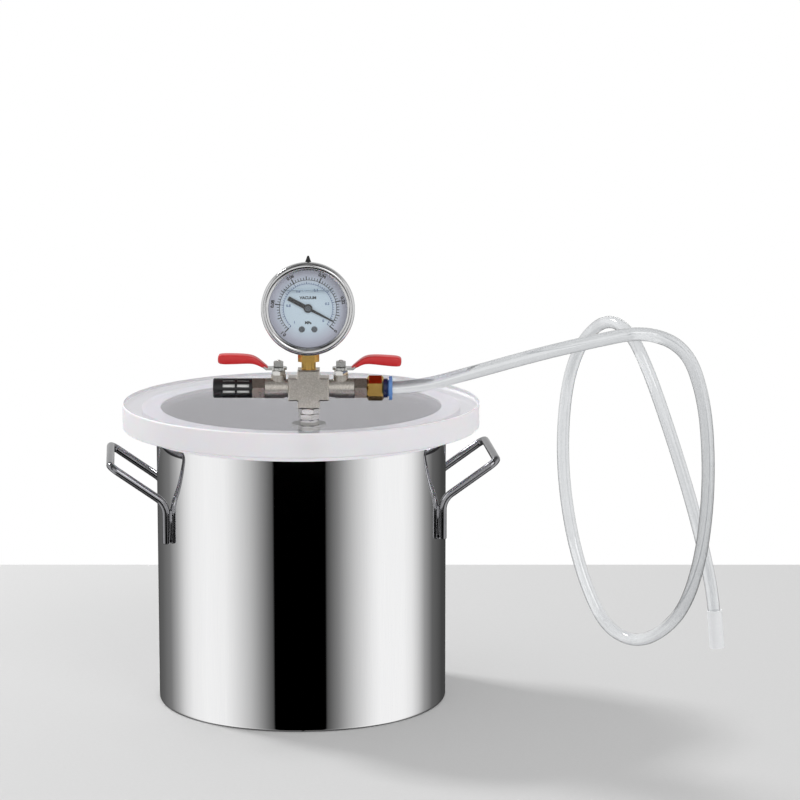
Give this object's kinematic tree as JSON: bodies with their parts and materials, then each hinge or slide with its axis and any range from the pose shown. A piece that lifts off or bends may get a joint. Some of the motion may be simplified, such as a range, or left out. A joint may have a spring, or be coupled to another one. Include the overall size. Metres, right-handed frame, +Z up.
{
  "type": "vacuum chamber",
  "caption": "Round polished steel vacuum pot with wire handles, thick clear lid, white seal, dial gauge, lever valves on a cross fitting, and a loose clear hose.",
  "frame": {"origin": "centre of the pot's underside, on the surface it stands on", "axes": "+Z up; the gauge faces -Y; the manifold's arms lie along X, hose on +X"},
  "size_m": [0.4899, 0.3539, 0.3505],
  "materials": {
    "polished_steel": "mirror-polished stainless steel",
    "handle_steel": "polished stainless wire",
    "clear_acrylic": "clear cast acrylic, machined edge",
    "white_silicone": "moulded, satin",
    "zinc_steel": "bright zinc plate",
    "satin_nickel": "satin nickel plate on brass",
    "bright_nickel": "bright nickel plate",
    "red_vinyl": "dipped vinyl, gloss",
    "ptfe": "satin",
    "black_plastic": "moulded, semi-gloss",
    "white_filter": "sintered, matt",
    "brass": "machined",
    "navy_plastic": "moulded, gloss",
    "blue_plastic": "moulded, semi-gloss",
    "gauge_steel": "polished stainless steel",
    "gauge_glass": "flat polished",
    "black_rubber": "moulded, matt",
    "dial_paint": "satin paint",
    "pointer_paint": "matt paint",
    "bronze": "drawn phosphor bronze",
    "clear_hose": "clear polyurethane tube",
    "frosted_sleeve": "frosted soft plastic"
  },
  "bodies": {
    "chamber": {"pot": "polished_steel", "left_handle": "handle_steel", "right_handle": "handle_steel", "gasket": "white_silicone", "lid": "clear_acrylic", "lid_seal_washer": "white_silicone", "lid_steel_washer": "zinc_steel", "clamp_nut": "zinc_steel", "hex_nipple": "bright_nickel", "jam_nut": "bright_nickel", "cross": "satin_nickel", "silencer_housing": "black_plastic", "silencer_filter": "white_filter", "fitting_body": "brass", "fitting_collar": "navy_plastic", "fitting_claw": "zinc_steel", "gauge_socket": "brass", "gauge_case": "gauge_steel", "gauge_bezel": "gauge_steel", "gauge_window": "gauge_glass", "window_seal": "black_rubber", "dial": "dial_paint", "dial_screws": "bright_nickel", "movement": "brass", "bourdon_tube": "bronze", "vent_plug": "black_rubber", "hose": "clear_hose", "hose_sleeve": "frosted_sleeve", "left_valve_body": "bright_nickel", "left_valve_cap": "bright_nickel", "left_ball_seats": "ptfe", "left_packing": "ptfe", "left_gland_nut": "bright_nickel", "right_valve_body": "bright_nickel", "right_valve_cap": "bright_nickel", "right_ball_seats": "ptfe", "right_packing": "ptfe", "right_gland_nut": "bright_nickel"},
    "left_lever": {"left_lever": "zinc_steel", "left_grip": "red_vinyl", "left_lever_nut": "zinc_steel", "left_stem": "bright_nickel", "left_ball": "bright_nickel"},
    "right_lever": {"right_lever": "zinc_steel", "right_grip": "red_vinyl", "right_lever_nut": "zinc_steel", "right_stem": "bright_nickel", "right_ball": "bright_nickel"},
    "gauge_needle": {"pointer": "pointer_paint", "pointer_arbor": "zinc_steel"},
    "collet": {"release_collet": "blue_plastic"}
  },
  "joints": [
    {"name": "left_valve_turn", "type": "hinge", "parent": "chamber", "child": "left_lever", "pos_m": [-0.0142, -0.076, 0.2525], "axis": [0, 0, -1], "range_deg": [0, 90]},
    {"name": "right_valve_turn", "type": "hinge", "parent": "chamber", "child": "right_lever", "pos_m": [0.0317, -0.076, 0.2525], "axis": [0, 0, -1], "range_deg": [0, 90]},
    {"name": "pointer_swing", "type": "hinge", "parent": "chamber", "child": "gauge_needle", "pos_m": [0.008, -0.076, 0.3131], "axis": [0, -1, 0], "range_deg": [-12, 253], "stiffness_Nm_per_rad": 0.005},
    {"name": "collet_press", "type": "slide", "parent": "chamber", "child": "collet", "axis": [-1, 0, 0], "range_m": [0, 0.0008]}
  ]
}
